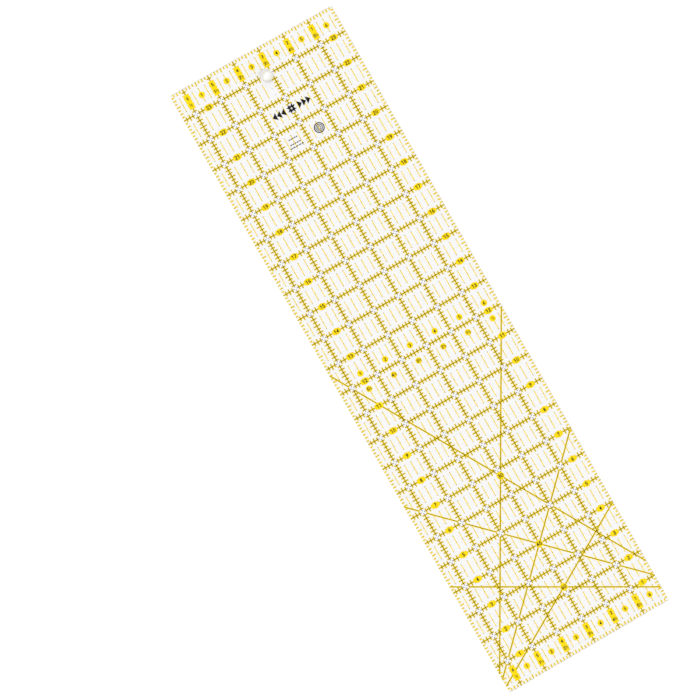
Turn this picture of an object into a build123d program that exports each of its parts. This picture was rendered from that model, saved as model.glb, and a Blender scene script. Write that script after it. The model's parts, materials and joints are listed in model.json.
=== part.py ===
from build123d import *
import math
import os

# Quilting ruler: a clear acrylic sheet, 6 1/2 by 24 inches, screen printed on its underside with
# yellow rules that carry a black hairline, so that they show on light and on dark cloth alike.
# The black film is printed first and the yellow film behind it, so black reads in front of yellow
# from above. Every printed patch is its own thin solid. The ticks across the rules, the
# quarter-inch hairlines and their dots repeat by the thousand and belong to the visual model.
#
# Axes: X across the sheet, Y along it, with the hanging hole near +Y, Z up through the thickness.
# Origin: under the middle of the sheet, on the lowest face of the print.
# Layout positions are ruler inches, counted from the left edge and from the bottom edge.

# ---- driving dimensions ----
INCH = 25.4
SHEET_WIDTH_IN = 6.5
SHEET_LENGTH_IN = 24.0
SHEET_THICKNESS = 3.0
CORNER_RADIUS = 1.5
EDGE_BREAK = 0.2
HANG_HOLE_RADIUS = 5.0
HANG_HOLE_AT_IN = (3.30, 22.98)
HOLE_CLEARANCE_IN = 0.25        # radius around the hole that the print keeps clear of

# ---- print films, from the lowest up ----
INK_FILM = 0.02
BOND_LINE = 0.005               # hair of clearance between the black film and the sheet
YELLOW_BASE = 0.0
BLACK_BASE = YELLOW_BASE + INK_FILM
SHEET_BASE = BLACK_BASE + INK_FILM + BOND_LINE

# ---- rules and ticks ----
BAND_WIDTH = 1.55               # yellow width of every main rule and angle line
HAIRLINE_WIDTH = 0.42           # black centre line
TICK_THICKNESS = 1.35
EIGHTHS = 8                     # ticks to the inch
SHORT_TICK = 4.6                # whole length of an 1/8 inch tick across a rule
EDGE_TICK_ENDS = (2.6, 3.3, 4.1)  # how far in from the edge the 1/8, 1/4 and 1/2 inch ticks reach
EDGE_MARGIN_IN = 0.01           # print stops this far inside the sheet's edge
OPEN_SQUARE_IN = 0.10           # half side of the open square left at each crossing
CROSSHAIR_IN = 0.04             # half of the gap that the hairlines leave at its middle
FIRST_RULE_IN = 0.5             # first lengthwise rule; the others follow inch by inch
RULE_COUNT = 6
ROW_COUNT = 23

# ---- number patches ----
ROW_NUMBER_X_IN = (1.0, 6.0)
OVAL_RADII = (4.05, 3.1)        # behind two digits
DISC_RADIUS = 3.15              # behind one digit
PATCH_REACH_IN = 0.165          # half length of rule that a row number takes the place of
CIRCLE_RADIUS = 2.95
CIRCLE_ROWS_IN = (0.5, 12.31, 23.5)
REMAINDER_ROW_IN = 11.69        # row of circles that counts from the right edge
TAB_HALF_IN = 0.25              # half height of an end tab, between its outer ticks
TAB_NUMBER_IN = 0.13            # how far each of its numbers stands from its middle
TAB_BLOB_RADIUS = 3.15
TAB_BAR = 6.1
TAB_CORE_WIDTH = 5.0
TAB_ROWS_IN = (0.5, 23.5)
ANGLE_PATCH_RADIUS = 3.55
ANGLE_PATCH_REACH_IN = 0.15

# ---- angle lines: degrees from the ruler's length, and the height where each pair crosses ----
ANGLE_CROSS_X_IN = 3.5
ANGLE_CROSS_Y_IN = {30: 6.75, 45: 4.0, 60: 2.25}
ANGLE_END_MARGIN_IN = 0.03

# ---- numerals ----
ROW_NUMERAL = 3.5               # heights
CIRCLE_NUMERAL = 3.1
TAB_NUMERAL = 3.1
ANGLE_NUMERAL = 3.7
GLYPH_STROKE = 0.19             # share of the height
GLYPH_PITCH = 0.70
HALF_PITCH = 0.66               # from a whole number's middle to that of its fraction
HALF_SCALE = 0.54

# ---- plain printed ornaments ----
STAR_SIDE_IN = 0.34
STAR_AT_IN = (3.5, 21.56)
GOOSE_WIDTH_IN = 0.155
GOOSE_HALF_HEIGHT_IN = 0.14
GOOSE_PITCH_IN = 0.17
GEESE_A_SIDE = 3
STAR_OPENING_IN = (21.38, 21.74)
RING_AT_IN = (4.01, 20.50)
RING_RADII_IN = (0.19, 0.155, 0.13, 0.105)
PETAL_COUNT = 8
PETAL_RADIUS_IN = 0.02
PETAL_ORBIT_IN = 0.062
NOTE_BARS_IN = ((3.02, 20.625, 0.36), (3.02, 20.434, 0.44), (3.02, 20.318, 0.56))
NOTE_BAR_HEIGHT = 0.85
NOTE_DASHES = 5
NOTE_DASH_SHARE = 0.72

HALF_TURN = 180


# ---- places on the sheet ----
def at(x_in, y_in, height=0.0):
    """Location of a layout point, in millimetres from the origin."""
    return Location(((x_in - SHEET_WIDTH_IN / 2) * INCH, (y_in - SHEET_LENGTH_IN / 2) * INCH, height))


def lengthwise(x_in):
    """Turns a rule drawn up from (0, 0) into the lengthwise rule at x_in."""
    return at(x_in, 0)


def crosswise(y_in):
    """Turns a rule drawn up from (0, 0) into the crosswise rule at y_in."""
    return at(0, y_in) * Rotation(0, 0, -90)


RULES_IN = [FIRST_RULE_IN + n for n in range(RULE_COUNT)]
ROWS_IN = [n + 1 for n in range(ROW_COUNT)]


# ---- flat outlines ----
def polygon(points):
    """Flat face inside a closed outline of (x, y) points."""
    return Face(Wire.make_polygon([Vector(x, y, 0) for x, y in points], close=True))


def bar(width, low, high):
    """Upright rectangle about X = 0, from low to high."""
    half = width / 2
    return polygon([(-half, low), (half, low), (half, high), (-half, high)])


def disc(radius):
    """Round face about the local origin."""
    return Circle(radius).face()


def joined(shapes):
    """One face, or several where they stay apart, out of overlapping shapes."""
    shapes = list(shapes)
    return shapes[0].fuse(*shapes[1:]).clean().faces()


def less(faces, tools):
    """Faces with every tool that comes near them cut away."""
    left = []
    for face in faces:
        box = face.bounding_box()
        near = [t for t in tools if boxes_meet(box, t.bounding_box())]
        left += face.cut(*near).faces() if near else [face]
    return left


def boxes_meet(a, b):
    """True where two flat bounding boxes overlap."""
    across = a.min.X < b.max.X and b.min.X < a.max.X
    along = a.min.Y < b.max.Y and b.min.Y < a.max.Y
    return across and along


def tick_kind(eighth):
    """0, 1 or 2 for an 1/8, 1/4 or 1/2 inch tick, counted in eighths from a crossing."""
    if eighth == EIGHTHS // 2:
        return 2
    return 1 if eighth % 2 == 0 else 0


def open_spans(length_in, closed):
    """Stretches of a rule, in inches, that are left between its closed stretches."""
    spans, start, end = [], EDGE_MARGIN_IN, length_in - EDGE_MARGIN_IN
    for low, high in sorted(closed):
        if low > start:
            spans.append((start, low))
        start = max(start, high)
    if end > start:
        spans.append((start, end))
    return spans


def bands(spans, width):
    """Upright bars of one width over stretches given in inches."""
    return [bar(width, low * INCH, high * INCH) for low, high in spans]


def around(places, reach_in):
    """Closed stretches of one reach about several places."""
    return [(p - reach_in, p + reach_in) for p in places]


# ---- numerals, drawn as strokes in a box one unit high about its middle ----
def stroke(*edges):
    """Round-ended stroke along joined edges."""
    return Face(Wire(edges).offset_2d(GLYPH_STROKE / 2, Kind.ARC, Side.BOTH))


def ring(radius, x, y):
    """Closed round stroke."""
    outer = Circle(radius + GLYPH_STROKE / 2).face()
    return outer.cut(Circle(radius - GLYPH_STROKE / 2).face()).faces()[0].moved(Location((x, y, 0)))


def arc(x, y, radius, start, sweep):
    """Part of a circle, in degrees."""
    return CenterArc((x, y), radius, start, sweep)


def digit_faces():
    """Each digit's faces. The box runs from -0.5 to 0.5 in height."""
    top, low, bowl = 0.415, -0.415, 0.205
    tall_ring = Ellipse(0.29, 0.5).face().cut(Ellipse(0.13, 0.33).face()).faces()
    hook = ThreePointArc((-bowl, -0.20), (-0.11, 0.17), (0.15, top))
    six = joined([ring(bowl, 0, -0.21), stroke(hook)])
    crook = arc(0, top - bowl, bowl, 165, -195)
    return {
        "0": tall_ring,
        "1": [stroke(*Polyline((-0.17, 0.27), (0.05, top), (0.05, low)).edges())],
        "2": [stroke(crook, *Polyline(crook @ 1, (-0.21, low), (0.23, low)).edges())],
        "3": joined([stroke(arc(-0.02, 0.20, 0.195, 150, -240)),
                     stroke(arc(-0.02, -0.205, 0.21, 90, -240))]),
        "4": joined([stroke(*Polyline((0.09, top), (-0.24, -0.17), (0.25, -0.17)).edges()),
                     stroke(Line((0.09, low), (0.09, top)))]),
        "5": joined([stroke(*Polyline((0.19, top), (-0.13, top), (-0.17, 0.02)).edges()),
                     stroke(arc(-0.01, -0.19, 0.225, 128, -270))]),
        "6": six,
        "7": [stroke(*Polyline((-0.21, top), (0.23, top), (-0.06, low)).edges())],
        "8": joined([ring(bowl, 0, -0.21), ring(0.185, 0, 0.21)]),
        "9": [face.rotate(Axis.Z, HALF_TURN) for face in six],
    }


DIGITS = digit_faces()


def scaled(faces, height, x=0.0, y=0.0):
    """Glyph faces at a real height, moved by shares of that height."""
    return [face.scale(height).moved(Location((x * height, y * height, 0))) for face in faces]


def number(text, height):
    """Faces of a whole number, centred on the local origin."""
    middle = (len(text) - 1) / 2
    rows = [scaled(DIGITS[d], height, (n - middle) * GLYPH_PITCH) for n, d in enumerate(text)]
    return [face for row in rows for face in row]


def one_half(height):
    """Faces of the fraction one half: two small digits and a slanted bar between them."""
    small = height * HALF_SCALE
    slash = bar(GLYPH_STROKE * 0.6, -0.5, 0.5).rotate(Axis.Z, -35)
    return (scaled(DIGITS["1"], small, -0.42, 0.46) + scaled(DIGITS["2"], small, 0.42, -0.42)
            + scaled([slash], height * 0.9))


def halves(whole, height):
    """Faces of a whole number and a half, or of one half alone where the whole is 0."""
    if whole == 0:
        return one_half(height)
    left = [f.moved(Location((-HALF_PITCH / 2 * height, 0, 0))) for f in number(str(whole), height)]
    return left + [f.moved(Location((HALF_PITCH / 2 * height, 0, 0))) for f in one_half(height)]


def placed(faces, location):
    """The same faces at another place."""
    return [face.moved(location) for face in faces]


# ---- solids ----
def film(faces, base):
    """Thin solid of ink over each face."""
    rise = Vector(0, 0, INK_FILM)
    return Compound([Solid.extrude(face.moved(Location((0, 0, base))), rise) for face in faces])


def acrylic_blank():
    """Laser-cut clear sheet with rounded corners, broken edges and a hanging hole."""
    with BuildPart() as sheet:
        with BuildSketch(Plane.XY.offset(SHEET_BASE)):
            RectangleRounded(SHEET_WIDTH_IN * INCH, SHEET_LENGTH_IN * INCH, CORNER_RADIUS)
            with Locations(at(*HANG_HOLE_AT_IN)):
                Circle(HANG_HOLE_RADIUS, mode=Mode.SUBTRACT)
        extrude(amount=SHEET_THICKNESS)
        rims = sheet.edges().filter_by(GeomType.LINE).filter_by(Axis.Z, reverse=True)
        chamfer(rims + sheet.edges().filter_by(GeomType.CIRCLE), EDGE_BREAK)
    return sheet.part


# ---- yellow film ----
def hole_clearance():
    """Disc about the hanging hole that the print keeps out of."""
    return disc(HOLE_CLEARANCE_IN * INCH).moved(at(*HANG_HOLE_AT_IN))


def closed_on_rule(x_in, crossing_half_in):
    """Stretches of a lengthwise rule that crossings, end tabs, angle patches and the star take."""
    tab_reach = TAB_HALF_IN + TICK_THICKNESS / 2 / INCH
    closed = around(ROWS_IN, crossing_half_in) + around(TAB_ROWS_IN, tab_reach)
    if x_in == ANGLE_CROSS_X_IN:
        closed += around(ANGLE_CROSS_Y_IN.values(), ANGLE_PATCH_REACH_IN) + [STAR_OPENING_IN]
    return closed


def closed_on_row(y_in, crossing_half_in):
    """Stretches of a crosswise rule that crossings, row numbers and the 45 degree patch take."""
    closed = around(RULES_IN, crossing_half_in) + around(ROW_NUMBER_X_IN, PATCH_REACH_IN)
    if y_in in ANGLE_CROSS_Y_IN.values():
        closed += around([ANGLE_CROSS_X_IN], ANGLE_PATCH_REACH_IN)
    return closed


def lengthwise_rule(x_in):
    """Faces of one yellow lengthwise rule."""
    spans = open_spans(SHEET_LENGTH_IN, closed_on_rule(x_in, OPEN_SQUARE_IN))
    return less(placed(bands(spans, BAND_WIDTH), lengthwise(x_in)), [hole_clearance()])


def crosswise_rule(y_in):
    """Faces of one yellow crosswise rule."""
    spans = open_spans(SHEET_WIDTH_IN, closed_on_row(y_in, OPEN_SQUARE_IN))
    return less(placed(bands(spans, BAND_WIDTH), crosswise(y_in)), [hole_clearance()])


def edge_ticks(length_in, phase, place):
    """Faces of the ticks that run in from one edge, drawn for a rule that runs up from (0, 0)."""
    start, thin, faces = EDGE_MARGIN_IN * INCH, TICK_THICKNESS / 2, []
    for count in range(1, round(length_in * EIGHTHS)):
        eighth = (count - phase) % EIGHTHS
        if eighth:
            y, end = count * INCH / EIGHTHS, EDGE_TICK_ENDS[tick_kind(eighth)]
            faces.append(polygon([(start, y - thin), (end, y - thin), (end, y + thin), (start, y + thin)]))
    return placed(faces, place)


def row_patch(digits):
    """Yellow patch behind a row number, with the ticks beside it and a stub of rule at each end."""
    back = Ellipse(*OVAL_RADII).face() if digits > 1 else disc(DISC_RADIUS)
    stub = bar(2 * PATCH_REACH_IN * INCH, -BAND_WIDTH / 2, BAND_WIDTH / 2)
    ear = bar(TICK_THICKNESS, -SHORT_TICK / 2, SHORT_TICK / 2)
    ears = [ear.moved(Location((side * INCH / EIGHTHS, 0, 0))) for side in (-1, 1)]
    return joined([back, stub, *ears])


def tab_patch():
    """Yellow tab of two stacked discs between ticks, over the end of a lengthwise rule."""
    reach = TAB_HALF_IN * INCH
    blobs = [disc(TAB_BLOB_RADIUS).moved(Location((0, side * TAB_NUMBER_IN * INCH, 0))) for side in (-1, 1)]
    bars = [bar(TAB_BAR, y - TICK_THICKNESS / 2, y + TICK_THICKNESS / 2) for y in (-reach, 0, reach)]
    return joined([bar(TAB_CORE_WIDTH, -reach, reach), *blobs, *bars])


def angle_patch(degrees):
    """Yellow disc behind an angle's number, with a stub of each rule that it stands on."""
    reach = ANGLE_PATCH_REACH_IN * INCH
    stubs = [bar(BAND_WIDTH, -reach, reach)]
    if ANGLE_CROSS_Y_IN[degrees] in ROWS_IN:
        stubs = []
    return joined([disc(ANGLE_PATCH_RADIUS), *stubs])


def angle_strips(degrees, width):
    """The two straight strips of an angle pair, each from edge to edge of the sheet."""
    strips, middle = [], ANGLE_CROSS_X_IN
    lean = math.radians(degrees)
    for side in (-1, 1):
        ends = [side * x / math.sin(lean) for x in (middle - ANGLE_END_MARGIN_IN,
                                                    middle - SHEET_WIDTH_IN + ANGLE_END_MARGIN_IN)]
        strip = bar(width, min(ends) * INCH, max(ends) * INCH).rotate(Axis.Z, side * degrees)
        strips.append(strip.moved(at(middle, ANGLE_CROSS_Y_IN[degrees])))
    return strips


# ---- black film ----
def centre_hairlines(length_in, closed, place):
    """Faces of the black hairline along one rule."""
    spans = open_spans(length_in, closed)
    return less(placed(bands(spans, HAIRLINE_WIDTH), place), [hole_clearance()])


def star_and_geese():
    """Plain quilt-block ornament: a sawtooth star between two rows of triangles."""
    unit = STAR_SIDE_IN * INCH / 4
    half = GOOSE_HALF_HEIGHT_IN * INCH
    corner = [(-1, 2), (0, 1), (1, 2), (1, 1)]
    outline = []
    for turn in range(4):
        for x, y in corner:
            for _ in range(turn):
                x, y = y, -x
            outline.append((x * unit, y * unit))
    window = polygon([(0, unit / 2), (unit / 2, 0), (0, -unit / 2), (-unit / 2, 0)])
    faces = polygon(outline[::-1]).cut(window).faces()
    for side in (-1, 1):
        for n in range(GEESE_A_SIDE):
            near = (STAR_SIDE_IN / 2 + (n + 0.5) * GOOSE_PITCH_IN) * INCH
            far = near + GOOSE_WIDTH_IN * INCH
            goose = [(side * near, -half), (side * far, 0), (side * near, half)]
            faces.append(polygon(goose[::side]))
    return placed(faces, at(*STAR_AT_IN))


def ring_and_petals():
    """Plain round ornament: two thin rings about a wreath of dots."""
    outer, inner, second, least = (r * INCH for r in RING_RADII_IN)
    faces = disc(outer).cut(disc(inner)).faces() + disc(second).cut(disc(least)).faces()
    for n in range(PETAL_COUNT):
        turn = math.tau * n / PETAL_COUNT
        x, y = (PETAL_ORBIT_IN * INCH * f(turn) for f in (math.cos, math.sin))
        faces.append(disc(PETAL_RADIUS_IN * INCH).moved(Location((x, y, 0))))
    return placed(faces, at(*RING_AT_IN))


def note_bars():
    """Rows of plain dashes that stand where small print would be."""
    faces = []
    for x, y, width in NOTE_BARS_IN:
        pitch = width / NOTE_DASHES
        for n in range(NOTE_DASHES):
            middle = x + (n - (NOTE_DASHES - 1) / 2) * pitch
            dash = bar(pitch * NOTE_DASH_SHARE * INCH, -NOTE_BAR_HEIGHT / 2, NOTE_BAR_HEIGHT / 2)
            faces.append(dash.moved(at(middle, y)))
    return faces


# ---- the whole print ----
def yellow_nodes():
    """Every yellow sub-part by name."""
    rule_phase = round(FIRST_RULE_IN * EIGHTHS)
    phase_from_right = round(SHEET_WIDTH_IN * EIGHTHS) - rule_phase
    flip = Rotation(0, 0, HALF_TURN)
    nodes = {f"lengthwise_rule_{n + 1}": lengthwise_rule(x) for n, x in enumerate(RULES_IN)}
    nodes |= {f"crosswise_rule_{y:02d}": crosswise_rule(y) for y in ROWS_IN}
    nodes["edge_ticks_left"] = edge_ticks(SHEET_LENGTH_IN, 0, at(0, 0))
    nodes["edge_ticks_right"] = edge_ticks(SHEET_LENGTH_IN, 0, at(SHEET_WIDTH_IN, SHEET_LENGTH_IN) * flip)
    nodes["edge_ticks_bottom"] = edge_ticks(
        SHEET_WIDTH_IN, phase_from_right, at(SHEET_WIDTH_IN, 0) * Rotation(0, 0, 90))
    nodes["edge_ticks_top"] = edge_ticks(
        SHEET_WIDTH_IN, rule_phase, at(0, SHEET_LENGTH_IN) * Rotation(0, 0, -90))
    nodes["row_number_patches"] = [
        face for y in ROWS_IN for x in ROW_NUMBER_X_IN
        for face in placed(row_patch(len(str(y))), at(x, y))]
    nodes["column_number_patches"] = [
        disc(CIRCLE_RADIUS).moved(at(n + 1, y))
        for y in (*CIRCLE_ROWS_IN, REMAINDER_ROW_IN) for n in range(RULE_COUNT)]
    nodes["end_tabs"] = [
        face for x in RULES_IN for y in TAB_ROWS_IN for face in placed(tab_patch(), at(x, y))]
    nodes["angle_number_patches"] = [
        face for degrees, y in ANGLE_CROSS_Y_IN.items()
        for face in placed(angle_patch(degrees), at(ANGLE_CROSS_X_IN, y))]
    squares = open_squares()
    for degrees in ANGLE_CROSS_Y_IN:
        others = [face for faces in nodes.values() for face in faces]
        nodes[f"angle_lines_{degrees}"] = less(angle_pair(degrees, BAND_WIDTH), others + squares)
    return nodes


def angle_pair(degrees, width):
    """An angle's two strips, the second cut clear of the first where they cross."""
    first, second = angle_strips(degrees, width)
    return [first] + less([second], [first])


def open_squares():
    """The square left open at every crossing of the rules."""
    half = OPEN_SQUARE_IN * INCH
    return [bar(2 * half, -half, half).moved(at(x, y)) for x in RULES_IN for y in ROWS_IN]


def black_nodes(yellow):
    """Every black sub-part by name."""
    nodes = {}
    nodes["lengthwise_hairlines"] = [
        face for x in RULES_IN
        for face in centre_hairlines(SHEET_LENGTH_IN, closed_on_rule(x, CROSSHAIR_IN), lengthwise(x))]
    nodes["crosswise_hairlines"] = [
        face for y in ROWS_IN
        for face in centre_hairlines(SHEET_WIDTH_IN, closed_on_row(y, CROSSHAIR_IN), crosswise(y))]
    patches = ("row_number_patches", "column_number_patches", "end_tabs", "angle_number_patches")
    obstacles = [face for name in patches for face in yellow[name]] + open_squares()
    obstacles += nodes["lengthwise_hairlines"] + nodes["crosswise_hairlines"]
    lines = []
    for degrees in ANGLE_CROSS_Y_IN:
        lines += less(angle_pair(degrees, HAIRLINE_WIDTH), obstacles + lines)
    nodes["angle_hairlines"] = lines
    nodes["row_numerals"] = [
        face for y in ROWS_IN for x in ROW_NUMBER_X_IN
        for face in placed(number(str(y), ROW_NUMERAL), at(x, y))]
    nodes["column_numerals"] = [
        face for y in CIRCLE_ROWS_IN for n in range(RULE_COUNT)
        for face in placed(number(str(n + 1), CIRCLE_NUMERAL), at(n + 1, y))]
    nodes["remainder_numerals"] = [
        face for n in range(RULE_COUNT)
        for face in placed(halves(RULE_COUNT - 1 - n, CIRCLE_NUMERAL), at(n + 1, REMAINDER_ROW_IN))]
    nodes["end_tab_numerals"] = [
        face for n, x in enumerate(RULES_IN) for y in TAB_ROWS_IN
        for face in (placed(number(str(RULE_COUNT - n), TAB_NUMERAL), at(x, y + TAB_NUMBER_IN))
                     + placed(halves(n, TAB_NUMERAL), at(x, y - TAB_NUMBER_IN)))]
    nodes["angle_numerals"] = [
        face for degrees, y in ANGLE_CROSS_Y_IN.items()
        for face in placed(number(str(degrees), ANGLE_NUMERAL), at(ANGLE_CROSS_X_IN, y))]
    nodes["star_ornament"] = star_and_geese()
    nodes["ring_ornament"] = ring_and_petals()
    nodes["note_bars"] = note_bars()
    return nodes


def main():
    os.makedirs("parts", exist_ok=True)
    yellow = yellow_nodes()
    solids = {"acrylic_blank": acrylic_blank()}
    solids |= {name: film(faces, YELLOW_BASE) for name, faces in yellow.items()}
    solids |= {name: film(faces, BLACK_BASE) for name, faces in black_nodes(yellow).items()}
    for name, shape in solids.items():
        export_step(shape, f"parts/{name}.step", write_pcurves=False)


main()
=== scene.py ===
"""Visual model of a clear acrylic quilting ruler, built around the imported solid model.

The solid model gives the sheet, the yellow rules, patches and edge ticks, and the black hairlines
and numerals. This script adds what repeats by the thousand: the ticks across the rules with their
own black hairlines, the fine quarter-inch lines and their dots. It replaces the plain sheet with
one that has softly rounded rims, and gives every surface its finish.
"""

import json
import logging
import math
from dataclasses import dataclass
from enum import Enum

import bpy
import numpy as np
from mathutils import Euler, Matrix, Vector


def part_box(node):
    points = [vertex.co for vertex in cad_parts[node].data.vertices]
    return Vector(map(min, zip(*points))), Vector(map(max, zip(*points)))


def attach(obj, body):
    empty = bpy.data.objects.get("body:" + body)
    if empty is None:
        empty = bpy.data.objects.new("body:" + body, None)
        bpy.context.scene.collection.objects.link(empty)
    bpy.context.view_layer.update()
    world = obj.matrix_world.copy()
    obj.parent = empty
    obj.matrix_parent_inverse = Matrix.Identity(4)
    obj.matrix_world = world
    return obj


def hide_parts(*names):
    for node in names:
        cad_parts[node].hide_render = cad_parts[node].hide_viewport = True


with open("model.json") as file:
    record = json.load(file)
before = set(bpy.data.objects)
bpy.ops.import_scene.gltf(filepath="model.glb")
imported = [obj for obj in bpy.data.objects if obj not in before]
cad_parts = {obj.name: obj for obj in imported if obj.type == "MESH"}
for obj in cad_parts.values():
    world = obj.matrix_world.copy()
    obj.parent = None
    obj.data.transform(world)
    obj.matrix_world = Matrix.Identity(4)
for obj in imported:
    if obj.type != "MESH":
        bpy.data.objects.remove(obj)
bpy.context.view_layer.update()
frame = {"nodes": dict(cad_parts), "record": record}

INCH = 0.0254
MM = 0.001
QUARTERS = 4
EIGHTHS = 8
TINY = 1e-9
FILM_INSET = 0.001 * MM
BODY = "root"
log = logging.getLogger("quilting_ruler")


class Slot(str, Enum):
    """Material slots of the record."""

    ACRYLIC = "clear_acrylic"
    YELLOW = "yellow_ink"
    BLACK = "black_ink"
    GREY = "grey_ink"


class Run(Enum):
    """Which way a rule runs over the sheet."""

    LENGTHWISE = "lengthwise"
    CROSSWISE = "crosswise"


class TickKind(Enum):
    """The three sizes of tick, by the fraction of an inch that they mark."""

    EIGHTH = 0
    QUARTER = 1
    HALF = 2

    @classmethod
    def of(cls, eighths: np.ndarray) -> np.ndarray:
        """Kind numbers for ticks counted in eighths from a crossing.

        Args:
            eighths: whole counts from 1 to 7.

        Returns:
            An array of 0, 1 or 2: even counts are quarters, and the fourth is the half.
        """
        quarter = np.where(eighths % 2 == 0, cls.QUARTER.value, cls.EIGHTH.value)
        return np.where(eighths == EIGHTHS // 2, cls.HALF.value, quarter)


# ---------------------------------------------------------------------------------------------
# places
# ---------------------------------------------------------------------------------------------


@dataclass(frozen=True)
class Sheet:
    """Size and place of the acrylic sheet and its two print films, read from the solid model."""

    low: tuple[float, float, float]
    high: tuple[float, float, float]
    yellow: tuple[float, float]
    black: tuple[float, float]
    hole: tuple[float, float]
    hole_radius: float

    @classmethod
    def measured(cls) -> "Sheet":
        """Reads the boxes of the sheet and of one node of each film, and the hanging hole's mount.

        Returns:
            The sheet, whose film levels are drawn in by the film inset.
        """
        low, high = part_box("acrylic_blank")
        yellow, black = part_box("lengthwise_rule_1"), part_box("lengthwise_hairlines")
        mount = next(m for m in frame["record"]["mounts"] if m["name"] == "hang_hole")
        films = [(a.z + FILM_INSET, b.z - FILM_INSET) for a, b in (yellow, black)]
        return cls(tuple(low), tuple(high), *films,
                   (mount["pos_m"][0], mount["pos_m"][1]), mount["dims"]["r_mm"] * MM)

    @property
    def inches(self) -> tuple[float, float]:
        """The sheet's width and length in inches."""
        return (self.high[0] - self.low[0]) / INCH, (self.high[1] - self.low[1]) / INCH

    def x(self, inches: np.ndarray) -> np.ndarray:
        """Metres from the origin for inches counted from the left edge."""
        return self.low[0] + np.asarray(inches) * INCH

    def y(self, inches: np.ndarray) -> np.ndarray:
        """Metres from the origin for inches counted from the bottom edge."""
        return self.low[1] + np.asarray(inches) * INCH


@dataclass(frozen=True)
class Grid:
    """Where the main rules run and what stands in their way, in inches."""

    sheet: Sheet
    rules: np.ndarray
    rows: np.ndarray
    row_number_x: tuple[float, float] = (1.0, 6.0)
    tab_rows: tuple[float, float] = (0.5, 23.5)
    circle_rows: tuple[float, ...] = (0.5, 11.69, 12.31, 23.5)
    angle_rule: float = 3.5
    angle_rows: tuple[float, ...] = (6.75, 4.0, 2.25)
    star_span: tuple[float, float] = (21.38, 21.74)
    hole_clearance: float = 0.25
    first_rule: float = 0.5

    @classmethod
    def on(cls, sheet: Sheet) -> "Grid":
        """Reads the rules' places from the boxes of their nodes.

        Args:
            sheet: the sheet that the rules are printed on.

        Returns:
            The grid, with lengthwise rules at half inches and crosswise ones at whole inches.
        """
        def middle(name: str, axis: int, low: float) -> float:
            a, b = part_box(name)
            return ((a[axis] + b[axis]) / 2 - low) / INCH
        names = sorted(frame["nodes"])
        rules = [middle(n, 0, sheet.low[0]) for n in names if n.startswith("lengthwise_rule_")]
        rows = [middle(n, 1, sheet.low[1]) for n in names if n.startswith("crosswise_rule_")]
        return cls(sheet, np.round(np.array(rules) * 2) / 2, np.round(rows))

    def eighths(self, run: Run) -> tuple[np.ndarray, np.ndarray]:
        """Ticks at each eighth of an inch along a rule, without the crossings.

        Args:
            run: which way the rule runs.

        Returns:
            The ticks' places along the rule in inches, and their kinds.
        """
        width, length = self.sheet.inches
        end, phase = length, 0
        if run is Run.CROSSWISE:
            end, phase = width, round(self.first_rule * EIGHTHS)
        count = np.arange(1, round(end * EIGHTHS))
        eighth = (count - phase) % EIGHTHS
        return count[eighth > 0] / EIGHTHS, TickKind.of(eighth[eighth > 0])

    def clear_of_hole(self, x: np.ndarray, y: np.ndarray, reach: float) -> np.ndarray:
        """Which layout points stay outside the clear ring about the hanging hole.

        Args:
            x: inches from the left edge.
            y: inches from the bottom edge.
            reach: extra room in inches.

        Returns:
            A mask of the points to keep.
        """
        hx = (self.sheet.hole[0] - self.sheet.low[0]) / INCH
        hy = (self.sheet.hole[1] - self.sheet.low[1]) / INCH
        return np.hypot(x - hx, y - hy) > self.hole_clearance + reach


# ---------------------------------------------------------------------------------------------
# shader helpers
# ---------------------------------------------------------------------------------------------


@dataclass
class NodeSketch:
    """Adds and joins shader nodes in one tree."""

    tree: bpy.types.NodeTree

    def add(self, kind: str, **settings: object) -> bpy.types.Node:
        """Adds one node.

        Args:
            kind: the node's Blender type name.
            settings: input sockets by their capitalised names, or node properties in lower case.

        Returns:
            The new node.
        """
        node = self.tree.nodes.new(kind)
        for name, value in settings.items():
            if name[0].isupper():
                node.inputs[name.replace("_", " ")].default_value = value
            else:
                setattr(node, name, value)
        return node

    def join(self, source: bpy.types.NodeSocket, target: bpy.types.NodeSocket) -> None:
        """Links one socket to another."""
        self.tree.links.new(source, target)

    def math(self, operation: str, a: object, b: object = 0.0) -> bpy.types.NodeSocket:
        """One arithmetic step on sockets or plain numbers.

        Args:
            operation: the Math node's operation.
            a: first socket or number.
            b: second socket or number.

        Returns:
            The result's socket.
        """
        node = self.add("ShaderNodeMath", operation=operation)
        for socket, value in zip(node.inputs, (a, b)):
            if isinstance(value, bpy.types.NodeSocket):
                self.join(value, socket)
            else:
                socket.default_value = value
        return node.outputs[0]

    def mix_colour(self, factor: object, a: object, b: object) -> bpy.types.NodeSocket:
        """Blends two colours.

        Args:
            factor: socket or number, 0 for a and 1 for b.
            a: first colour, as a socket or RGBA numbers.
            b: second colour, as a socket or RGBA numbers.

        Returns:
            The blended colour's socket.
        """
        node = self.add("ShaderNodeMix", data_type="RGBA")
        for socket, value in zip((node.inputs[0], node.inputs[6], node.inputs[7]), (factor, a, b)):
            if isinstance(value, bpy.types.NodeSocket):
                self.join(value, socket)
            else:
                socket.default_value = value
        return node.outputs[2]

    def relief(self, height: bpy.types.NodeSocket, surface: bpy.types.Node, strength: float,
               depth: float) -> None:
        """Lets a height bend the surface's normal.

        Args:
            height: the height's socket.
            surface: the shader whose normal is bent.
            strength: share of the bend, from 0 to 1.
            depth: metres for a height of 1.
        """
        bump = self.add("ShaderNodeBump", Strength=strength, Distance=depth)
        self.join(height, bump.inputs["Height"])
        self.join(bump.outputs["Normal"], surface.inputs["Normal"])


def new_material(name: str) -> tuple[bpy.types.Material, NodeSketch, bpy.types.Node]:
    """Starts a material.

    Args:
        name: the material's name.

    Returns:
        The material, a sketch of its tree and its surface shader.
    """
    material = bpy.data.materials.new(name)
    material.use_nodes = True
    sketch = NodeSketch(material.node_tree)
    return material, sketch, sketch.tree.nodes["Principled BSDF"]


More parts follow.
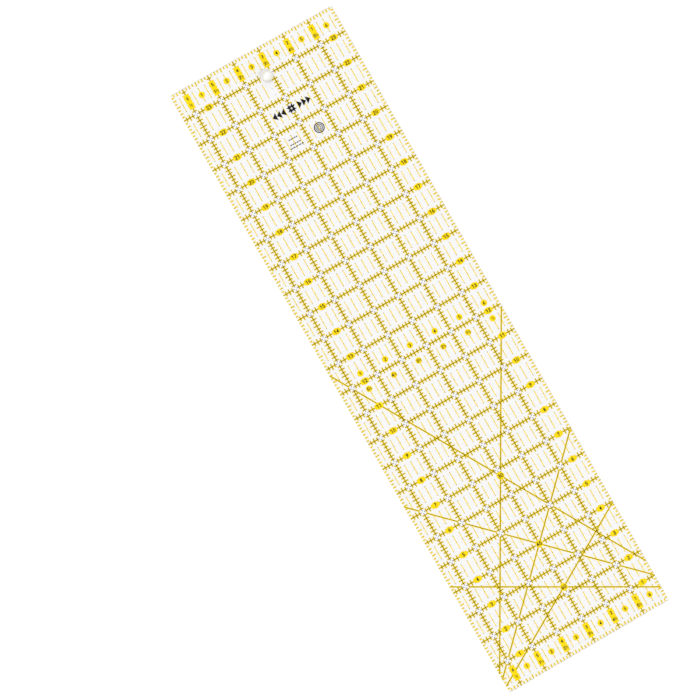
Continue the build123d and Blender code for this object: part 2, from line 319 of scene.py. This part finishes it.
def new_group(name: str, inputs: dict[str, float], outputs: dict[str, str]) -> NodeSketch:
    """Starts a shader node group.

    Args:
        name: the group's name.
        inputs: number inputs with their usual values.
        outputs: output names with their socket types.

    Returns:
        A sketch of the group's tree, with its two end nodes named IN and OUT.
    """
    tree = bpy.data.node_groups.new(name, "ShaderNodeTree")
    for label, value in inputs.items():
        socket = tree.interface.new_socket(label, in_out="INPUT", socket_type="NodeSocketFloat")
        socket.default_value = value
    for label, kind in outputs.items():
        tree.interface.new_socket(label, in_out="OUTPUT", socket_type=kind)
    sketch = NodeSketch(tree)
    sketch.add("NodeGroupInput").name = "IN"
    sketch.add("NodeGroupOutput").name = "OUT"
    return sketch


def ink_mottle_group() -> bpy.types.NodeTree:
    """Uneven lay-down of screen ink: broad drifts, fine mesh grain and rare pinholes.

    Returns:
        A group that puts out Shade (about 1), Pinhole (0 to 1), Gloss (a roughness) and Height.
    """
    s = new_group(
        "ink_mottle",
        {"Drift": 0.05, "Grain": 0.05, "Pinholes": 0.5, "Roughness": 0.4},
        {"Shade": "NodeSocketFloat", "Pinhole": "NodeSocketFloat",
         "Gloss": "NodeSocketFloat", "Height": "NodeSocketFloat"})
    start, end = s.tree.nodes["IN"], s.tree.nodes["OUT"]
    middle, spot_size, rare_from, gloss_gain = 0.5, 0.055, 0.86, 1.6
    place = s.add("ShaderNodeTexCoord")
    broad = s.add("ShaderNodeTexNoise", Scale=38.0, Detail=3.0, Roughness=0.55)
    fine = s.add("ShaderNodeTexNoise", Scale=2600.0, Detail=2.0, Roughness=0.6)
    spots = s.add("ShaderNodeTexVoronoi", Scale=900.0, feature="F1")
    for node in (broad, fine, spots):
        s.join(place.outputs["Object"], node.inputs["Vector"])
    drift = s.math("MULTIPLY", s.math("SUBTRACT", broad.outputs["Fac"], middle),
                   start.outputs["Drift"])
    grain = s.math("MULTIPLY", s.math("SUBTRACT", fine.outputs["Fac"], middle),
                   start.outputs["Grain"])
    s.join(s.math("ADD", s.math("ADD", drift, grain), 1.0), end.inputs["Shade"])
    small = s.math("LESS_THAN", spots.outputs["Distance"], spot_size)
    rare = s.math("GREATER_THAN", spots.outputs["Color"], rare_from)
    s.join(s.math("MULTIPLY", s.math("MULTIPLY", small, rare), start.outputs["Pinholes"]),
           end.inputs["Pinhole"])
    s.join(s.math("ADD", start.outputs["Roughness"], s.math("MULTIPLY", drift, gloss_gain)),
           end.inputs["Gloss"])
    s.join(s.math("ADD", fine.outputs["Fac"], broad.outputs["Fac"]), end.inputs["Height"])
    return s.tree


def handling_wear_group() -> bpy.types.NodeTree:
    """Marks of handling on clear acrylic: wiping haze, hairline scratches and dust specks.

    Scratches are thin bands where a stretched, turned noise crosses its middle value; dust is the
    heart of sparse cells.

    Returns:
        A group that puts out Haze (a roughness to add) and Height.
    """
    s = new_group(
        "handling_wear",
        {"Haze": 0.03, "Scratches": 0.10, "Dust": 0.15},
        {"Haze": "NodeSocketFloat", "Height": "NodeSocketFloat"})
    start, end = s.tree.nodes["IN"], s.tree.nodes["OUT"]
    middle, line_width, speck_size, rare_from, haze_from = 0.5, 0.0016, 0.03, 0.8, 0.45
    turns_and_stretches = ((0.4, 90.0), (1.5, 130.0), (2.3, 70.0))
    place = s.add("ShaderNodeTexCoord")
    wipe = s.add("ShaderNodeTexNoise", Scale=14.0, Detail=4.0, Roughness=0.6, Distortion=0.6)
    s.join(place.outputs["Object"], wipe.inputs["Vector"])
    lines: object = 0.0
    for turn, stretch in turns_and_stretches:
        lie = s.add("ShaderNodeMapping", Rotation=(0.0, 0.0, turn), Scale=(stretch, 3.0, 1.0))
        s.join(place.outputs["Object"], lie.inputs["Vector"])
        grain = s.add("ShaderNodeTexNoise", Scale=2.2, Detail=1.0)
        s.join(lie.outputs["Vector"], grain.inputs["Vector"])
        near = s.math("ABSOLUTE", s.math("SUBTRACT", grain.outputs["Fac"], middle))
        lines = s.math("MAXIMUM", lines, s.math("LESS_THAN", near, line_width))
    specks = s.add("ShaderNodeTexVoronoi", Scale=160.0, feature="F1")
    s.join(place.outputs["Object"], specks.inputs["Vector"])
    dust = s.math("MULTIPLY", s.math("LESS_THAN", specks.outputs["Distance"], speck_size),
                  s.math("GREATER_THAN", specks.outputs["Color"], rare_from))
    wiped = s.math("MAXIMUM", s.math("SUBTRACT", wipe.outputs["Fac"], haze_from), 0.0)
    haze = s.math("MULTIPLY", wiped, start.outputs["Haze"])
    scratch = s.math("MULTIPLY", lines, start.outputs["Scratches"])
    grit = s.math("MULTIPLY", dust, start.outputs["Dust"])
    s.join(s.math("ADD", s.math("ADD", haze, scratch), grit), end.inputs["Haze"])
    s.join(s.math("SUBTRACT", grit, scratch), end.inputs["Height"])
    return s.tree


# ---------------------------------------------------------------------------------------------
# finishes
# ---------------------------------------------------------------------------------------------


@dataclass(frozen=True)
class InkFinish:
    """Cured screen ink with a slight mottle."""

    name: str
    colour: tuple[float, float, float]
    thin_colour: tuple[float, float, float]
    roughness: float = 0.42
    shine: float = 0.10
    drift: float = 0.10
    grain: float = 0.06
    pinholes: float = 0.5
    bump: float = 0.15
    depth: float = 0.01 * MM

    def build(self, mottle: bpy.types.NodeTree) -> bpy.types.Material:
        """Makes the material.

        Args:
            mottle: the shared ink_mottle group.

        Returns:
            The new material.
        """
        material, s, surface = new_material(self.name)
        group = s.add("ShaderNodeGroup", node_tree=mottle)
        for label, value in (("Drift", self.drift), ("Grain", self.grain),
                             ("Pinholes", self.pinholes), ("Roughness", self.roughness)):
            group.inputs[label].default_value = value
        shade = s.add("ShaderNodeHueSaturation", Color=(*self.colour, 1.0))
        s.join(group.outputs["Shade"], shade.inputs["Value"])
        tone = s.mix_colour(group.outputs["Pinhole"], shade.outputs["Color"],
                            (*self.thin_colour, 1.0))
        s.join(tone, surface.inputs["Base Color"])
        s.join(group.outputs["Gloss"], surface.inputs["Roughness"])
        s.relief(group.outputs["Height"], surface, self.bump, self.depth)
        surface.inputs["Specular IOR Level"].default_value = self.shine
        return material


def open_to_light(s: NodeSketch, seen: bpy.types.NodeSocket,
                  tint: tuple[float, float, float]) -> None:
    """Lets light for the floor and the print straight through a clear material, tinted a little.

    Args:
        s: the material's sketch.
        seen: the shader that the eye meets.
        tint: what share of each colour goes through.
    """
    clear = s.add("ShaderNodeBsdfTransparent", Color=(*tint, 1.0))
    path = s.add("ShaderNodeLightPath")
    for ray in ("Is Diffuse Ray", "Is Shadow Ray"):
        blend = s.add("ShaderNodeMixShader")
        s.join(path.outputs[ray], blend.inputs[0])
        s.join(seen, blend.inputs[1])
        s.join(clear.outputs["BSDF"], blend.inputs[2])
        seen = blend.outputs["Shader"]
    s.join(seen, s.tree.nodes["Material Output"].inputs["Surface"])


@dataclass(frozen=True)
class AcrylicFinish:
    """Clear cast acrylic with polished faces and light wear."""

    name: str = "clear_acrylic"
    index: float = 1.49
    tint: tuple[float, float, float] = (0.945, 0.943, 0.950)
    light_tint: tuple[float, float, float] = (0.985, 0.984, 0.987)
    roughness: float = 0.012
    bump: float = 0.25
    depth: float = 0.03 * MM

    def build(self, wear: bpy.types.NodeTree) -> bpy.types.Material:
        """Makes the material.

        Args:
            wear: the shared handling_wear group.

        Returns:
            The new material.
        """
        material, s, surface = new_material(self.name)
        surface.inputs["Base Color"].default_value = (*self.tint, 1.0)
        surface.inputs["IOR"].default_value = self.index
        surface.inputs["Transmission Weight"].default_value = 1.0
        worn = s.add("ShaderNodeGroup", node_tree=wear)
        s.join(s.math("ADD", worn.outputs["Haze"], self.roughness), surface.inputs["Roughness"])
        s.relief(worn.outputs["Height"], surface, self.bump, self.depth)
        open_to_light(s, surface.outputs["BSDF"], self.light_tint)
        return material


@dataclass(frozen=True)
class CutEdgeFinish:
    """Sawn or drilled wall of the acrylic: frosted, pale, with fine upright tool marks."""

    name: str
    colour: tuple[float, float, float]
    light_tint: tuple[float, float, float]
    roughness: float = 0.38
    unevenness: float = 0.2
    dullness: float = 0.8
    marks_scale: float = 2400.0
    marks_stretch: float = 0.02
    bump: float = 0.3
    depth: float = 0.03 * MM

    def build(self) -> bpy.types.Material:
        """Makes the material, whose marks are a noise stretched along the wall's height.

        Returns:
            The new material.
        """
        material, s, surface = new_material(self.name)
        place = s.add("ShaderNodeTexCoord")
        lie = s.add("ShaderNodeMapping", Scale=(1.0, 1.0, self.marks_stretch))
        s.join(place.outputs["Object"], lie.inputs["Vector"])
        burr = s.add("ShaderNodeTexNoise", Scale=self.marks_scale, Detail=2.0, Roughness=0.6)
        s.join(lie.outputs["Vector"], burr.inputs["Vector"])
        dull = tuple(self.dullness * c for c in self.colour)
        tone = s.mix_colour(burr.outputs["Fac"], (*dull, 1.0), (*self.colour, 1.0))
        s.join(tone, surface.inputs["Base Color"])
        uneven = s.math("MULTIPLY", burr.outputs["Fac"], self.unevenness)
        s.join(s.math("ADD", uneven, self.roughness), surface.inputs["Roughness"])
        s.relief(burr.outputs["Fac"], surface, self.bump, self.depth)
        open_to_light(s, surface.outputs["BSDF"], self.light_tint)
        return material


@dataclass(frozen=True)
class FloorFinish:
    """Plain pale matt floor."""

    name: str = "pale_floor"
    colour: tuple[float, float, float] = (0.93, 0.93, 0.93)
    roughness: float = 0.9
    shine: float = 0.1

    def build(self) -> bpy.types.Material:
        """Makes the material.

        Returns:
            The new material.
        """
        material, _, surface = new_material(self.name)
        surface.inputs["Base Color"].default_value = (*self.colour, 1.0)
        surface.inputs["Roughness"].default_value = self.roughness
        surface.inputs["Specular IOR Level"].default_value = self.shine
        return material


@dataclass
class Finishes:
    """Every material of the ruler, by the record's slot."""

    by_slot: dict[Slot, bpy.types.Material]
    cut_edge: bpy.types.Material
    bore: bpy.types.Material

    @classmethod
    def build(cls) -> "Finishes":
        """Makes the shared groups once and the materials from them.

        Returns:
            All finishes of the ruler.
        """
        mottle, wear = ink_mottle_group(), handling_wear_group()
        cut_edge = CutEdgeFinish("acrylic_cut_edge", (0.80, 0.83, 0.83), (0.97, 0.97, 0.96)).build()
        bore = CutEdgeFinish("acrylic_bore", (0.80, 0.79, 0.70), (0.50, 0.465, 0.32)).build()
        yellow = InkFinish("yellow_ink", (1.0, 0.745, 0.004), (1.0, 0.82, 0.25))
        black = InkFinish("black_ink", (0.012, 0.011, 0.010), (0.10, 0.08, 0.03),
                          roughness=0.48, drift=0.5, grain=0.4)
        grey = InkFinish("grey_ink", (0.024, 0.024, 0.026), (0.9, 0.88, 0.8),
                         roughness=0.5, drift=0.5, grain=0.4, pinholes=0.2)
        return cls({
            Slot.ACRYLIC: AcrylicFinish().build(wear),
            Slot.YELLOW: yellow.build(mottle),
            Slot.BLACK: black.build(mottle),
            Slot.GREY: grey.build(mottle),
        }, cut_edge, bore)


# ---------------------------------------------------------------------------------------------
# printed pieces
# ---------------------------------------------------------------------------------------------


def new_piece(name: str, points: np.ndarray, faces: list[list[int]], slot: Slot,
              material: bpy.types.Material) -> bpy.types.Object:
    """Makes a mesh object in place, dresses it and lets it ride on the ruler.

    Args:
        name: the piece's name.
        points: vertex places in metres, n by 3.
        faces: vertex numbers of each face.
        slot: the record's material slot; not used.
        material: the finish.

    Returns:
        The new object.
    """
    mesh = bpy.data.meshes.new(name)
    mesh.from_pydata(points.tolist(), [], faces)
    mesh.materials.append(material)
    mesh.update()
    piece = bpy.data.objects.new(name, mesh)
    bpy.context.scene.collection.objects.link(piece)
    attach(piece, BODY)
    log.info("%s: %d faces", name, len(faces))
    return piece


def film_boxes(centres: np.ndarray, halves: np.ndarray,
               film: tuple[float, float]) -> tuple[np.ndarray, list[list[int]]]:
    """Many thin upright boxes of ink as whole arrays.

    A box's eight corners are its centre plus or minus its half sizes, on the film's lower and then
    its upper level; the same six outward faces are repeated with the corner numbers moved on by
    eight for each box.

    Args:
        centres: box middles in metres, n by 2.
        halves: half sizes in metres, n by 2.
        film: lower and upper level of the ink in metres.

    Returns:
        Vertex places and quads.
    """
    signs = np.array([(-1, -1), (1, -1), (1, 1), (-1, 1)] * 2, float)
    levels = np.repeat(np.array(film), len(signs) // 2)
    flat = centres[:, None, :] + halves[:, None, :] * signs[None]
    points = np.concatenate([flat, np.broadcast_to(levels[None, :, None], (*flat.shape[:2], 1))], 2)
    quads = np.array([(3, 2, 1, 0), (4, 5, 6, 7),
                      (0, 1, 5, 4), (1, 2, 6, 5), (2, 3, 7, 6), (3, 0, 4, 7)])
    faces = quads[None] + len(signs) * np.arange(len(centres))[:, None, None]
    return points.reshape(-1, 3), faces.reshape(-1, 4).tolist()


@dataclass
class RuleTicks:
    """The ticks across the main rules at each eighth of an inch, each with a black hairline."""

    grid: Grid
    run: Run
    thickness: float = 1.35 * MM
    lengths: tuple[float, float, float] = (4.6 * MM, 6.1 * MM, 7.1 * MM)
    band: float = 1.55 * MM
    hairline: float = 0.42 * MM
    hairline_inset: float = 0.45 * MM
    tab_reach: float = 0.26
    patch_reach: float = 0.14

    def places(self) -> tuple[np.ndarray, np.ndarray, np.ndarray]:
        """Every tick that is printed.

        Returns:
            The rule's place, the tick's place along it, both in inches, and the tick's kind.
        """
        across = self.grid.rules if self.run is Run.LENGTHWISE else self.grid.rows
        places, kinds = self.grid.eighths(self.run)
        rule, along = (a.ravel() for a in np.meshgrid(across, places, indexing="ij"))
        kind = np.tile(kinds, len(across))
        keep = self._open(rule, along)
        return rule[keep], along[keep], kind[keep]

    def _open(self, rule: np.ndarray, along: np.ndarray) -> np.ndarray:
        """Which ticks no tab, number, star or hole takes the place of.

        Args:
            rule: places of the rules, in inches.
            along: places of the ticks along them, in inches.

        Returns:
            A mask of the ticks to keep.
        """
        grid = self.grid
        x, y = (rule, along) if self.run is Run.LENGTHWISE else (along, rule)
        keep = grid.clear_of_hole(x, y, 0.0)
        if self.run is Run.CROSSWISE:
            for middle in grid.row_number_x:
                keep &= np.abs(along - middle) > self.patch_reach
            on_angle_row = np.isin(rule, grid.angle_rows)
            return keep & ~(on_angle_row & (np.abs(along - grid.angle_rule) < self.patch_reach))
        for middle in grid.tab_rows:
            keep &= np.abs(along - middle) > self.tab_reach
        on_angle_rule = rule == grid.angle_rule
        for middle in grid.angle_rows:
            keep &= ~(on_angle_rule & (np.abs(along - middle) < self.patch_reach))
        low, high = grid.star_span
        return keep & ~(on_angle_rule & (along > low) & (along < high))

    def _laid(self, rule: np.ndarray, along: np.ndarray, offset: np.ndarray,
              reach: np.ndarray, thin: float) -> tuple[np.ndarray, np.ndarray]:
        """Centres and half sizes of bars that stand across the rules.

        Args:
            rule: places of the rules, in inches.
            along: places along the rules, in inches.
            offset: how far each bar's middle stands from its rule, in metres.
            reach: half lengths across the rule, in metres.
            thin: half thickness along the rule, in metres.

        Returns:
            Centres and half sizes in metres, each n by 2.
        """
        sheet, flat = self.grid.sheet, np.full(len(rule), thin)
        if self.run is Run.LENGTHWISE:
            return np.c_[sheet.x(rule) + offset, sheet.y(along)], np.c_[reach, flat]
        return np.c_[sheet.x(along), sheet.y(rule) + offset], np.c_[flat, reach]

    def build(self, finishes: Finishes) -> None:
        """Prints the yellow ticks and their black hairlines, each as two halves beside the rule.

        Args:
            finishes: the materials to print with.
        """
        sheet = self.grid.sheet
        rule, along, kind = (np.tile(a, 2) for a in self.places())
        side = np.repeat([-1.0, 1.0], len(rule) // 2)
        tip = np.array(self.lengths)[kind] / 2
        root = self.band / 2
        yellow = self._laid(rule, along, side * (tip + root) / 2, (tip - root) / 2,
                            self.thickness / 2)
        new_piece(f"{self.run.value}_ticks", *film_boxes(*yellow, sheet.yellow),
                  Slot.YELLOW, finishes.by_slot[Slot.YELLOW])
        tip, root = tip - self.hairline_inset, self.hairline / 2
        black = self._laid(rule, along, side * (tip + root) / 2, (tip - root) / 2,
                           self.hairline / 2)
        new_piece(f"{self.run.value}_tick_hairlines", *film_boxes(*black, sheet.black),
                  Slot.BLACK, finishes.by_slot[Slot.BLACK])


@dataclass
class EdgeTickHairlines:
    """Black hairlines down the middle of the ticks that run in from the sheet's edges."""

    grid: Grid
    hairline: float = 0.18 * MM
    start: float = 0.35 * MM
    ends: tuple[float, float, float] = (2.2 * MM, 2.9 * MM, 3.7 * MM)

    def build(self, finishes: Finishes) -> None:
        """Prints all four edges' hairlines as one piece.

        Args:
            finishes: the materials to print with.
        """
        sheet = self.grid.sheet
        centres, halves = [], []
        for run in Run:
            places, kinds = self.grid.eighths(run)
            tip = np.array(self.ends)[kinds]
            middle, reach = (tip + self.start) / 2, (tip - self.start) / 2
            thin = np.full(len(places), self.hairline / 2)
            for low_side in (True, False):
                if run is Run.LENGTHWISE:
                    x = sheet.low[0] + middle if low_side else sheet.high[0] - middle
                    centres.append(np.c_[x, sheet.y(places)])
                    halves.append(np.c_[reach, thin])
                else:
                    y = sheet.low[1] + middle if low_side else sheet.high[1] - middle
                    centres.append(np.c_[sheet.x(places), y])
                    halves.append(np.c_[thin, reach])
        boxes = film_boxes(np.vstack(centres), np.vstack(halves), sheet.black)
        new_piece("edge_tick_hairlines", *boxes, Slot.BLACK, finishes.by_slot[Slot.BLACK])


@dataclass
class QuarterLines:
    """Fine yellow lines at each quarter inch between the rules, with a dot at ends and middle."""

    grid: Grid
    width: float = 0.75 * MM
    middle_width: float = 0.85 * MM
    span: tuple[float, float] = (0.25, 0.75)
    dot_radius: float = 0.30 * MM
    dot_sides: int = 12
    circle_radius: float = 2.95 * MM / INCH
    hole_gap: float = 0.02

    def columns(self) -> tuple[np.ndarray, np.ndarray]:
        """Where the lines stand across the sheet.

        Returns:
            Their places in inches, and whether each is the middle one between two rules.
        """
        width, _ = self.grid.sheet.inches
        quarter = np.arange(1, round(width * QUARTERS))
        quarter = quarter[(quarter - round(self.grid.first_rule * QUARTERS)) % QUARTERS != 0]
        return quarter / QUARTERS, quarter % QUARTERS == 0

    def build(self, finishes: Finishes) -> None:
        """Prints the lines and the dots."""
        self._lines(finishes)
        self._dots(finishes)

    def _lines(self, finishes: Finishes) -> None:
        """Prints the lines, shortened where a number circle stands on one.

        Args:
            finishes: the materials to print with.
        """
        sheet = self.grid.sheet
        columns, is_middle = self.columns()
        cells = np.arange(round(sheet.inches[1]))
        x, cell = (a.ravel() for a in np.meshgrid(columns, cells, indexing="ij"))
        mid = np.repeat(is_middle, len(cells))
        low, high = cell + self.span[0], cell + self.span[1]
        extra = []
        for row in self.grid.circle_rows:
            near, far = row - self.circle_radius, row + self.circle_radius
            hit = mid & (low < far) & (high > near)
            split = hit & (low < near) & (high > far)
            extra.append((x[split], np.full(split.sum(), far), high[split], mid[split]))
            low = np.where(hit & (low >= near), far, low)
            high = np.where(hit & (low < near), near, high)
        parts = [(x, low, high, mid), *extra]
        x, low, high, mid = (np.concatenate(p) for p in zip(*parts))
        keep = (self.grid.clear_of_hole(x, high, self.hole_gap)
                & self.grid.clear_of_hole(x, low, self.hole_gap))
        x, low, high, mid = (a[keep] for a in (x, low, high, mid))
        centres = np.c_[sheet.x(x), sheet.y((low + high) / 2)]
        halves = np.c_[np.where(mid, self.middle_width, self.width) / 2, (high - low) / 2 * INCH]
        new_piece("quarter_inch_lines", *film_boxes(centres, halves, sheet.yellow),
                  Slot.YELLOW, finishes.by_slot[Slot.YELLOW])

    def _dots(self, finishes: Finishes) -> None:
        """Prints the dots: each is a short prism whose rim is a circle cut into equal sides.

        Args:
            finishes: the materials to print with.
        """
        sheet = self.grid.sheet
        columns, is_middle = self.columns()
        quarter = np.arange(1, round(sheet.inches[1] * QUARTERS))
        rows = quarter[quarter % QUARTERS != 0] / QUARTERS
        x, y = (a.ravel() for a in np.meshgrid(columns, rows, indexing="ij"))
        mid = np.repeat(is_middle, len(rows))
        keep = self.grid.clear_of_hole(x, y, self.hole_gap)
        for row in self.grid.circle_rows:
            keep &= ~(mid & (np.abs(y - row) < self.circle_radius))
        (left, low, _), (right, high, _) = (np.array(c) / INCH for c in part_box("star_ornament"))
        middle_x, middle_y = np.array(sheet.inches) / 2
        keep &= ~((x > left + middle_x) & (x < right + middle_x)
                  & (y > low + middle_y) & (y < high + middle_y))
        x, y = sheet.x(x[keep]), sheet.y(y[keep])
        turn = math.tau * np.arange(self.dot_sides) / self.dot_sides
        rim = self.dot_radius * np.c_[np.cos(turn), np.sin(turn)]
        flat = np.c_[x, y][:, None, :] + rim[None]
        rings = [np.concatenate([flat, np.full((*flat.shape[:2], 1), z)], 2) for z in sheet.black]
        points = np.concatenate(rings, 1).reshape(-1, 3)
        n = self.dot_sides
        step = np.arange(n)
        after = np.roll(step, -1)
        lower = 2 * n * np.arange(len(x))[:, None]
        upper = lower + n
        sides = np.stack([lower + step, lower + after, upper + after, upper + step], 2)
        faces = [*(lower + step[::-1]).tolist(), *(upper + step).tolist(),
                 *sides.reshape(-1, 4).tolist()]
        new_piece("quarter_inch_dots", points, faces, Slot.BLACK, finishes.by_slot[Slot.BLACK])


@dataclass
class AcrylicSheet:
    """The clear sheet, with rims rounded softly all round and at the hanging hole."""

    sheet: Sheet
    corner_radius: float = 1.5 * MM
    rim: float = 0.22 * MM
    rim_steps: int = 5
    corner_steps: int = 10
    even_steps: int = 160

    def _outline(self, inset: float, angles: np.ndarray) -> np.ndarray:
        """Rounded rectangle met by rays from the hanging hole.

        A ray at each angle meets the straight sides at the nearest of their four lines. Where that
        point falls in a corner square, it is moved to where the ray meets the corner's circle.

        Args:
            inset: how far the outline stands inside the sheet's sides.
            angles: directions from the hole's middle.

        Returns:
            Points in metres, n by 2.
        """
        low = np.array(self.sheet.low[:2]) + inset
        high = np.array(self.sheet.high[:2]) - inset
        radius = self.corner_radius - inset
        start = np.array(self.sheet.hole)
        ray = np.c_[np.cos(angles), np.sin(angles)]
        with np.errstate(divide="ignore"):
            far = np.where(ray > 0, high - start, low - start) / ray
        points = start + ray * np.abs(far).min(1)[:, None]
        centre = np.clip(points, low + radius, high - radius)
        out = points - centre
        corner = (np.abs(out) > TINY).all(1)
        gap = start - centre
        half = (ray * gap).sum(1)
        root = np.sqrt(np.maximum(half ** 2 - (gap ** 2).sum(1) + radius ** 2, 0.0))
        curved = start + ray * (root - half)[:, None]
        return np.where(corner[:, None], curved, points)

    def _angles(self) -> np.ndarray:
        """Even directions, with more of them at the four corners.

        Returns:
            Angles seen from the hanging hole's middle, from 0 to a full turn.
        """
        even = math.tau * np.arange(self.even_steps) / self.even_steps
        start = np.array(self.sheet.hole)
        low, high = np.array(self.sheet.low[:2]), np.array(self.sheet.high[:2])
        r, eighth_turn = self.corner_radius, math.pi / 4
        extra = []
        for sx in (0, 1):
            for sy in (0, 1):
                centre = np.where([sx, sy], high - r, low + r)
                outward = math.atan2(2 * sy - 1, 2 * sx - 1)
                spread = outward + np.linspace(-eighth_turn, eighth_turn, self.corner_steps)
                rim = centre + r * np.c_[np.cos(spread), np.sin(spread)]
                extra.append(np.arctan2(*(rim - start).T[::-1]) % math.tau)
        return np.unique(np.round(np.concatenate([even, *extra]), 7))

    def build(self, finishes: Finishes) -> bpy.types.Object:
        """Makes the sheet as one closed skin.

        The skin is a loop of rings, each with a point at every angle: up the outer side over a
        quarter-round rim, across the upper face to the hole, down the hole between two rims and
        back across the lower face. Inset and level of a rim follow the cosine and sine of a quarter
        turn.

        Args:
            finishes: the materials of the faces, the cut edges and the bore.

        Returns:
            The new object.
        """
        sheet, rim, angles = self.sheet, self.rim, self._angles()
        z0, z1 = sheet.low[2], sheet.high[2]
        turn = np.linspace(0, math.pi / 2, self.rim_steps)
        bend_in, bend_up = rim * (1 - np.cos(turn)), rim * (1 - np.sin(turn))
        outer = [(i, z1 - u) for i, u in zip(bend_in, bend_up)]
        outer = [(i, z0 + u) for i, u in zip(bend_in[::-1], bend_up[::-1])] + outer
        rings = [np.c_[self._outline(i, angles), np.full(len(angles), z)] for i, z in outer]
        ray = np.c_[np.cos(angles), np.sin(angles)]
        for i, z in outer[::-1]:
            flat = np.array(sheet.hole) + ray * (sheet.hole_radius + i)
            rings.append(np.c_[flat, np.full(len(angles), z)])
        n, m = len(angles), len(rings)
        points = np.concatenate(rings)
        ring, step = (a.ravel() for a in np.meshgrid(np.arange(m), np.arange(n), indexing="ij"))
        after, beside = (ring + 1) % m, (step + 1) % n
        faces = np.c_[ring * n + step, ring * n + beside, after * n + beside, after * n + step]
        piece = new_piece("acrylic_sheet", points, faces.tolist(), Slot.ACRYLIC,
                          finishes.by_slot[Slot.ACRYLIC])
        for material in (finishes.cut_edge, finishes.bore):
            piece.data.materials.append(material)
        wall = self.rim_steps - 1
        finish_of = np.select([ring == wall, ring == len(outer) + wall], [1, 2], 0)
        piece.data.polygons.foreach_set("material_index", finish_of)
        flat_rings = (len(outer) - 1, m - 1)
        piece.data.polygons.foreach_set("use_smooth", ~np.isin(ring, flat_rings))
        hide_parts("acrylic_blank")
        return piece


@dataclass
class PrintedFilms:
    """The print that the solid model carries: it keeps its shape and gets its ink."""

    def dress(self, finishes: Finishes) -> None:
        """Gives every node the finish of its material slot.

        Args:
            finishes: the materials by slot.
        """
        slots = {s["node"]: Slot(s["material_slot"]) for s in frame["record"]["subparts"]}
        for name, node in frame["nodes"].items():
            material = finishes.by_slot[slots[name]]
            node.data.materials.clear()
            node.data.materials.append(material)
            log.info("%s: %s", name, material.name)


# ---------------------------------------------------------------------------------------------
# studio
# ---------------------------------------------------------------------------------------------


@dataclass
class Studio:
    """Floor, lights and camera. Lengths in metres, turns in degrees."""

    floor_half: float = 40.0
    tile_half: float = 0.45
    floor_gap: float = 0.10 * MM
    place: tuple[float, float, float] = (-0.1103, 0.0478, 1.3861)
    turns: tuple[float, float, float] = (0.514, -2.345, -29.687)
    far_clip: float = 200.0
    focal_pixels: float = 1560.0
    picture: int = 700
    sensor: float = 36.0
    sky: float = 0.62
    dark_from: float = 0.70
    dark_full: float = 0.93
    softness: float = 36.0
    lamps: tuple[tuple[str, float, float, float], ...] = (
        ("key", 52.0, 210.0, 1.75),
        ("fill", 52.0, 30.0, 1.35),
    )

    def build(self) -> None:
        """Sets up the whole studio."""
        self._floor()
        self._camera()
        self._lights()

    def _floor(self) -> None:
        """A wide flat floor just under the print, as nine tiles with a small one in the middle."""
        lines = np.array([-self.floor_half, -self.tile_half, self.tile_half, self.floor_half])
        x, y = (a.ravel() for a in np.meshgrid(lines, lines))
        n = len(lines)
        row, column = (a.ravel() for a in np.meshgrid(np.arange(n - 1), np.arange(n - 1)))
        first = row * n + column
        quads = np.c_[first, first + 1, first + n + 1, first + n]
        mesh = bpy.data.meshes.new("floor")
        mesh.from_pydata(np.c_[x, y, np.full(len(x), -self.floor_gap)].tolist(), [], quads.tolist())
        mesh.materials.append(FloorFinish().build())
        floor = bpy.data.objects.new("floor", mesh)
        bpy.context.scene.collection.objects.link(floor)

    def _camera(self) -> None:
        """A long lens nearly square above the ruler."""
        data = bpy.data.cameras.new("camera")
        data.sensor_width = self.sensor
        data.lens = self.sensor * self.focal_pixels / self.picture
        data.clip_end = self.far_clip
        camera = bpy.data.objects.new("camera", data)
        camera.location = self.place
        camera.rotation_euler = Euler([math.radians(t) for t in self.turns])
        bpy.context.scene.collection.objects.link(camera)
        bpy.context.scene.camera = camera

    def _lights(self) -> None:
        """A pale sky that fades to dark overhead, and two broad soft lamps."""
        world = bpy.data.worlds.new("studio")
        world.use_nodes = True
        s = NodeSketch(world.node_tree)
        surface = s.tree.nodes["Background"]
        surface.inputs["Color"].default_value = (1.0, 1.0, 1.0, 1.0)
        place = s.add("ShaderNodeTexCoord")
        split = s.add("ShaderNodeSeparateXYZ")
        s.join(place.outputs["Generated"], split.inputs["Vector"])
        fade = s.add("ShaderNodeMapRange", From_Min=self.dark_from, From_Max=self.dark_full,
                     To_Min=self.sky, To_Max=0.0, interpolation_type="SMOOTHSTEP")
        s.join(split.outputs["Z"], fade.inputs["Value"])
        s.join(fade.outputs["Result"], surface.inputs["Strength"])
        bpy.context.scene.world = world
        for name, elevation, bearing, strength in self.lamps:
            data = bpy.data.lights.new(name, "SUN")
            data.energy, data.angle = strength, math.radians(self.softness)
            lamp = bpy.data.objects.new(name, data)
            lamp.rotation_euler = Euler((math.radians(90 - elevation), 0.0, math.radians(bearing)))
            bpy.context.scene.collection.objects.link(lamp)
        view = bpy.context.scene.view_settings
        view.view_transform, view.look = "Standard", "None"


def main() -> None:
    """Builds the ruler and its studio."""
    logging.basicConfig(level=logging.INFO, format="%(name)s %(message)s")
    Studio().build()
    finishes = Finishes.build()
    sheet = Sheet.measured()
    grid = Grid.on(sheet)
    PrintedFilms().dress(finishes)
    for run in Run:
        RuleTicks(grid, run).build(finishes)
    EdgeTickHairlines(grid).build(finishes)
    QuarterLines(grid).build(finishes)
    AcrylicSheet(sheet).build(finishes)


if __name__ == "__main__":
    main()
